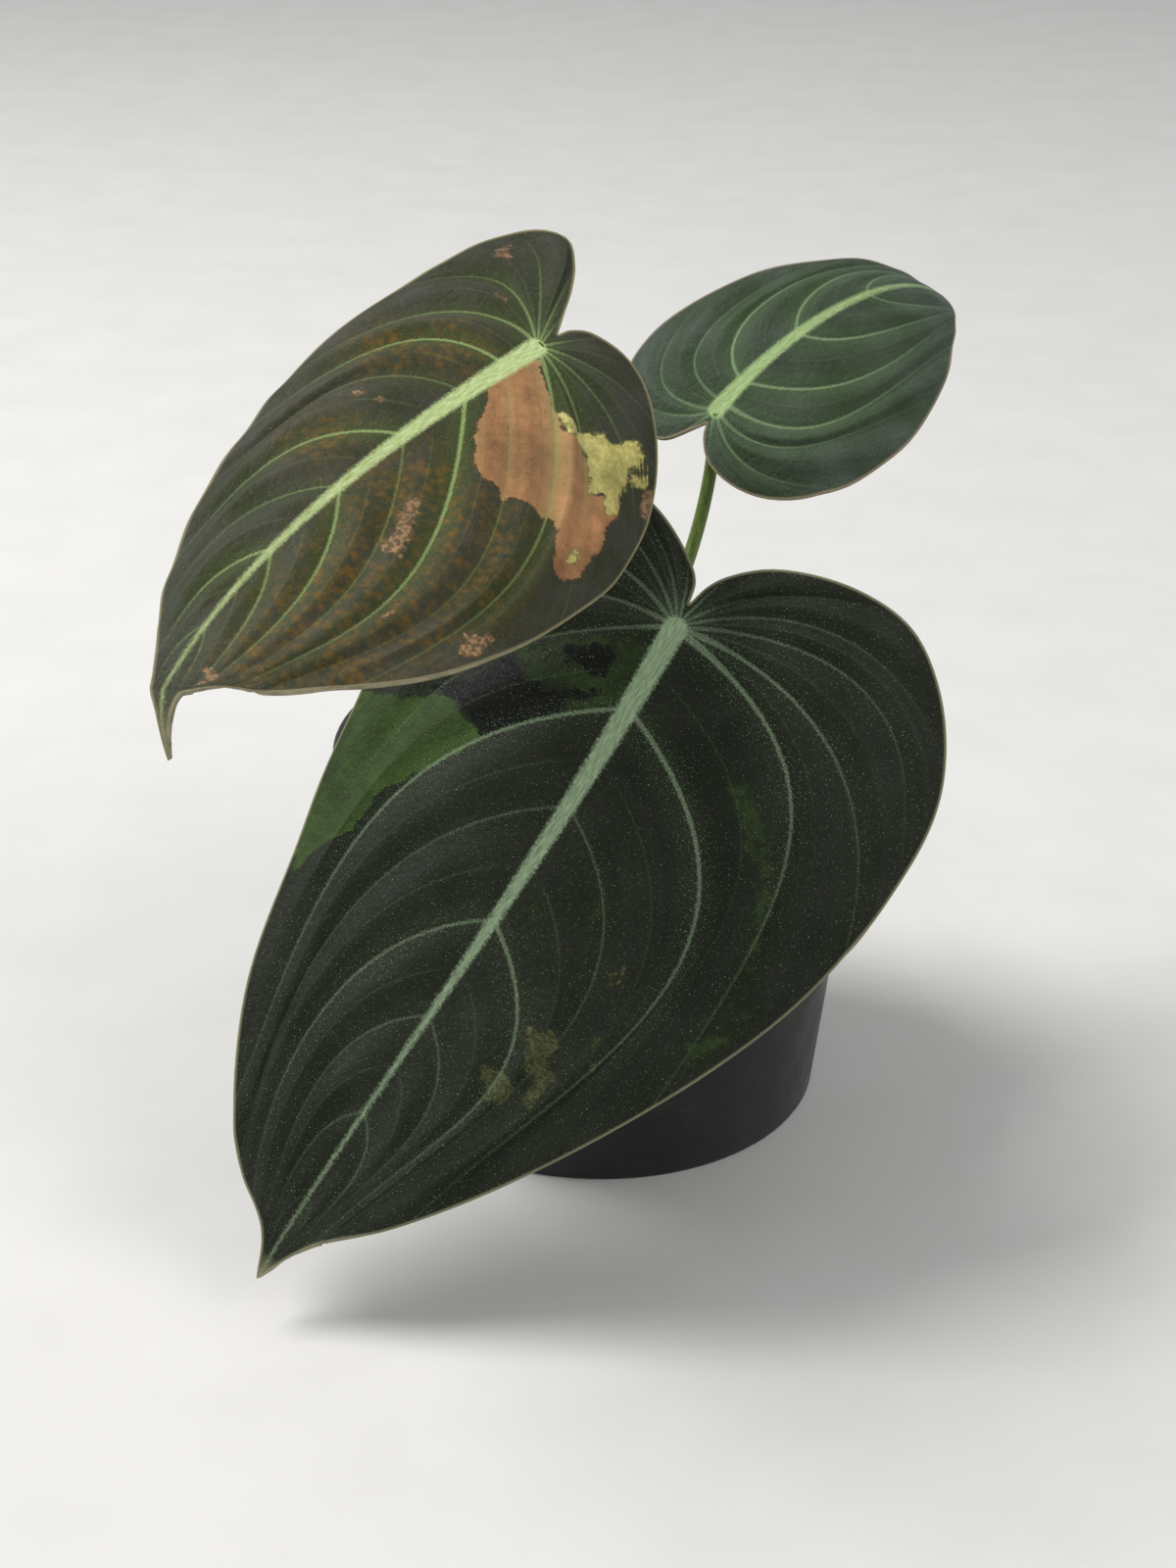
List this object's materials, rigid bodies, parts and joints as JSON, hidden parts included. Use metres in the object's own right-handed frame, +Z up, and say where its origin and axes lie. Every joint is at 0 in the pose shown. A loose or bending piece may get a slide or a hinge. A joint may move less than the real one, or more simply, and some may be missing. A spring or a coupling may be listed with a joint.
{
  "type": "potted variegated black gold philodendron",
  "caption": "Young climbing aroid in a small round nursery pot: drooping heart-shaped velvety leaves with pale ribs and cream and tan patches, on arching petioles over chunky bark mix.",
  "frame": {"origin": "centre of the pot's flat base, on the surface it stands on", "axes": "+Z up, -Y towards the viewer who faces the large leaf, +X to that viewer's right"},
  "size_m": [0.1176, 0.1296, 0.1458],
  "materials": {
    "pot_plastic": "satin",
    "bark_mix": "matte",
    "stem": "satin",
    "petiole": "satin",
    "blade_large": "matte",
    "blade_left": "matte",
    "blade_small": "matte"
  },
  "bodies": {
    "root": {"pot": "pot_plastic", "bark_mix": "bark_mix", "stem": "stem", "petiole_large_leaf": "petiole", "petiole_left_leaf": "petiole", "petiole_small_leaf": "petiole", "blade_large_leaf": "blade_large", "blade_left_leaf": "blade_left", "blade_small_leaf": "blade_small"}
  },
  "joints": []
}
